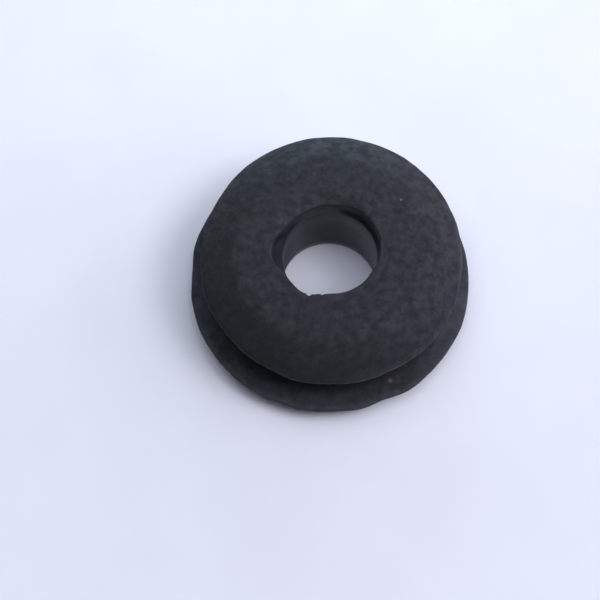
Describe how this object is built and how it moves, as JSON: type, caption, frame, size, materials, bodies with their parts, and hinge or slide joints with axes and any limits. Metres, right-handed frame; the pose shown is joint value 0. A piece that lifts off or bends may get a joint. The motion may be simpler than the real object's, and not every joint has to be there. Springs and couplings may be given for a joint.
{
  "type": "fuel tap seal",
  "caption": "Round rubber grommet with two bevelled flanges, a groove between them for a tank wall, and a stepped bore that grips the spigot of a fuel tap.",
  "frame": {"origin": "on the axis of the bore, at the flat underside of the larger flange", "axes": "+Z along the axis, from the larger flange to the smaller one, which has the wider entry of the bore; X and Y are any two directions across it"},
  "size_m": [0.0196, 0.0196, 0.0082],
  "materials": {
    "rubber": "matte, dusty moulded rubber"
  },
  "bodies": {
    "root": {"seal": "rubber"}
  },
  "joints": []
}
